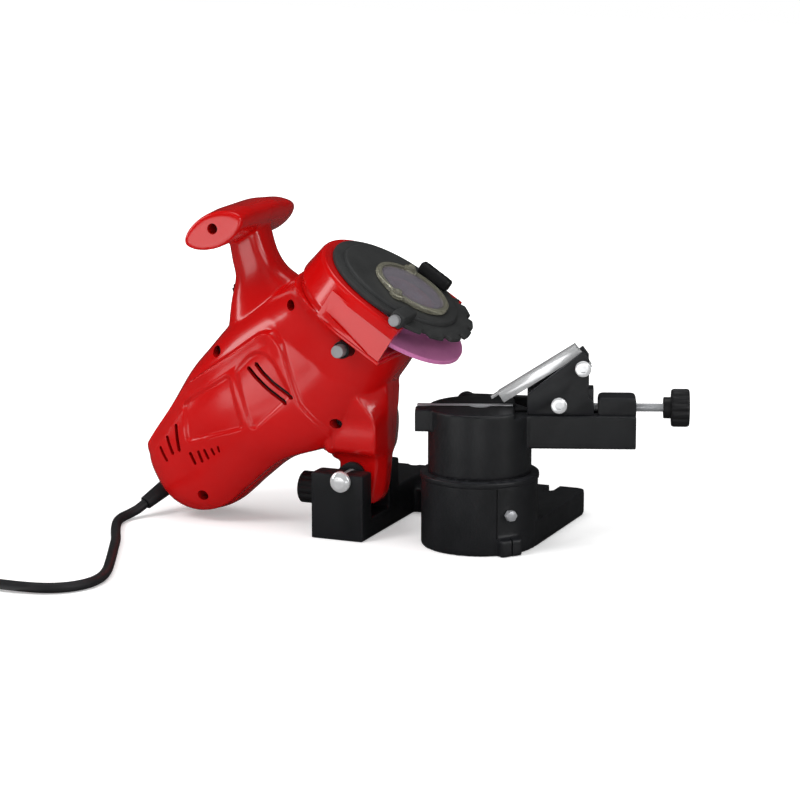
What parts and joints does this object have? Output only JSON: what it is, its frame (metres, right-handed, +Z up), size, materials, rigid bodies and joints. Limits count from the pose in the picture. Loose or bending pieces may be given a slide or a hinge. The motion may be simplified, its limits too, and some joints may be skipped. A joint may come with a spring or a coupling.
{
  "type": "electric chainsaw sharpener",
  "caption": "Bench chain grinder: a base with a swivelling chain vise, and a hinged motor head whose thin wheel swings down onto the chain.",
  "frame": {"origin": "on the base's underside, on the vertical axis that the vise swivels about", "axes": "+Z up; +X from the motor head towards the vise; -Y towards the person at the bench"},
  "size_m": [0.5258, 0.4844, 0.2332],
  "materials": {
    "red_plastic": "glossy moulded",
    "black_casting": "black satin enamel on a casting",
    "black_plastic": "satin moulded",
    "chrome": "polished",
    "steel": "machined",
    "abrasive": "bonded grit",
    "clear_plastic": "smoky clear moulding",
    "copper": "lacquered windings and copper bars",
    "brass": "satin",
    "cord_rubber": "matt"
  },
  "bodies": {
    "base": {"base_casting": "black_casting", "hinge_bolt": "chrome", "hinge_nut": "chrome", "pivot_bolt": "steel", "cord_lead": "cord_rubber", "cord_coil": "cord_rubber", "cord_tie": "black_plastic", "plug": "black_plastic"},
    "lock_screw": {"swivel_lock_screw": "steel"},
    "depth_stop": {"depth_screw": "steel"},
    "depth_stop_knob": {"depth_knob": "black_plastic"},
    "vise": {"vise_body": "black_casting"},
    "jaw": {"rear_jaw": "steel"},
    "clamp": {"clamp_lever": "black_plastic"},
    "carrier": {"carrier_front_plate": "black_casting", "carrier_body": "black_casting", "upper_bolt": "chrome", "lower_bolt": "chrome"},
    "stop": {"stop_plate": "chrome"},
    "adjuster": {"adjust_rod": "steel", "adjust_knob": "black_plastic"},
    "head": {"housing_front": "red_plastic", "housing_rear": "red_plastic", "housing_screw_drum": "steel", "housing_screw_neck": "steel", "housing_screw_tail": "steel", "housing_screw_foot": "steel", "housing_screw_grip": "steel", "hinge_bush_front": "black_plastic", "hinge_bush_rear": "black_plastic", "lock_sleeve": "black_plastic", "switch_body": "black_plastic", "strain_relief": "cord_rubber", "guard_ring": "red_plastic", "guard_cover": "black_plastic", "guard_pin": "chrome", "window_frame": "clear_plastic", "window_pane": "clear_plastic", "guard_grip": "black_plastic", "stator": "steel", "brush_holder_front": "brass", "brush_holder_rear": "brass", "motor_bearing_front": "steel", "motor_bearing_rear": "steel", "spindle_bearing_front": "steel", "spindle_bearing_rear": "steel", "gearbox_plate": "steel"},
    "spindle": {"spindle_shaft": "steel", "driven_gear": "steel", "grinding_wheel": "abrasive", "outer_flange": "steel", "wheel_nut": "steel"},
    "rotor": {"motor_shaft": "steel", "pinion": "steel", "cooling_fan": "black_plastic", "armature": "copper", "commutator": "copper"},
    "lock_button": {"spindle_lock_button": "steel"},
    "rocker": {"switch_rocker": "black_plastic"}
  },
  "joints": [
    {"name": "head_swing", "type": "hinge", "parent": "base", "child": "head", "pos_m": [-0.091, 0, 0.043], "axis": [0, 1, 0], "range_deg": [0, 18]},
    {"name": "wheel_spin", "type": "hinge", "parent": "head", "child": "spindle", "pos_m": [-0.0641, 0, 0.158], "axis": [0.5446, 0, 0.8387], "continuous": true},
    {"name": "motor_spin", "type": "hinge", "parent": "head", "child": "rotor", "pos_m": [-0.09429, 0, 0.17761], "axis": [0.5446, 0, 0.8387], "continuous": true},
    {"name": "spindle_lock_press", "type": "slide", "parent": "head", "child": "lock_button", "axis": [0, 1, 0], "range_m": [0, 0.004], "stiffness_N_per_m": 300, "springref_m": -0.002},
    {"name": "switch_rock", "type": "hinge", "parent": "head", "child": "rocker", "pos_m": [-0.185, 0, 0.16093], "axis": [0, 1, 0], "range_deg": [-7, 7]},
    {"name": "vise_swivel", "type": "hinge", "parent": "base", "child": "vise", "pos_m": [0, 0, 0.052], "axis": [0, 0, 1], "range_deg": [-55, 14]},
    {"name": "swivel_lock_turn", "type": "hinge", "parent": "base", "child": "lock_screw", "pos_m": [0.03342, -0.02706, 0.0288], "axis": [0.7771, -0.6293, 0], "range_deg": [0, 360]},
    {"name": "clamp_turn", "type": "hinge", "parent": "vise", "child": "clamp", "pos_m": [-0.02326, 0.03405, 0.0925], "axis": [-0.3469, 0.9379, 0], "range_deg": [-45, 0]},
    {"name": "jaw_close", "type": "slide", "parent": "vise", "child": "jaw", "axis": [0.3469, -0.9379, 0], "range_m": [0, 0.0014]},
    {"name": "adjust_turn", "type": "hinge", "parent": "carrier", "child": "adjuster", "pos_m": [0.09379, 0.03469, 0.098], "axis": [0.9379, 0.3469, 0], "range_deg": [-2880, 900]},
    {"name": "carrier_slide", "type": "slide", "parent": "vise", "child": "carrier", "axis": [0.9379, 0.3469, 0], "range_m": [-0.008, 0.0025]},
    {"name": "stop_flip", "type": "hinge", "parent": "carrier", "child": "stop", "pos_m": [0.06696, 0.02477, 0.1278], "axis": [-0.3469, 0.9379, 0], "range_deg": [0, 90]},
    {"name": "depth_travel", "type": "slide", "parent": "base", "child": "depth_stop", "axis": [-1, 0, 0], "range_m": [0, 0.005]},
    {"name": "depth_turn", "type": "hinge", "parent": "depth_stop", "child": "depth_stop_knob", "pos_m": [-0.125, -0.002, 0.0285], "axis": [-1, 0, 0], "range_deg": [0, 1800]}
  ],
  "couplings": [
    {"joint": "motor_spin", "follows": "wheel_spin", "ratio": -1.1818},
    {"joint": "carrier_slide", "follows": "adjust_turn", "m_per_rad": 0.00015915},
    {"joint": "depth_travel", "follows": "depth_turn", "m_per_rad": 0.00015915},
    {"joint": "jaw_close", "follows": "clamp_turn", "m_per_rad": -0.00178}
  ]
}
